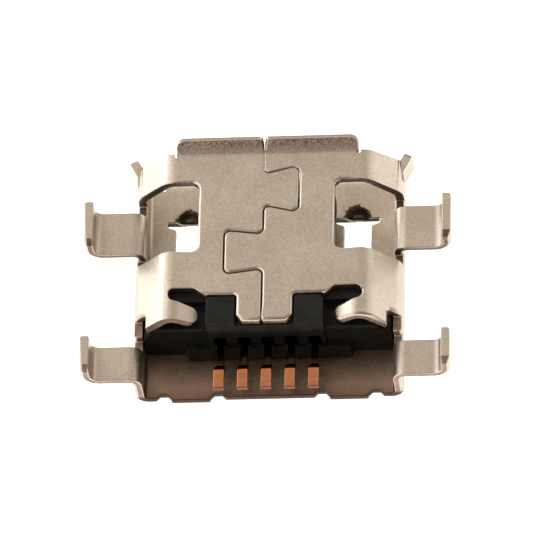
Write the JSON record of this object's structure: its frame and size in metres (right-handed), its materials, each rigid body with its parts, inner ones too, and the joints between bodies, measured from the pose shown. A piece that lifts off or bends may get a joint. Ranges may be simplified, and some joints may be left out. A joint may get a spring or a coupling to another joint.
{
  "type": "phone charging socket",
  "caption": "Sunk board socket with a folded metal shell, bent-up legs, a black moulded insulator and a row of small contacts.",
  "frame": {"origin": "centre of the wide plate's flat underside, halfway between the mouth's edge and the rear edge beside its two stubs", "axes": "+Y towards the mouth where the plug enters, +Z towards the narrow plate with the seam, X across the legs"},
  "size_m": [0.0102, 0.0072, 0.0029],
  "materials": {
    "shell_metal": "satin nickel plating",
    "black_plastic": "matt black moulding",
    "contact_metal": "thin gold over copper alloy"
  },
  "bodies": {
    "root": {"shell": "shell_metal", "housing": "black_plastic", "contact_1": "contact_metal", "contact_2": "contact_metal", "contact_3": "contact_metal", "contact_4": "contact_metal", "contact_5": "contact_metal"}
  },
  "joints": []
}
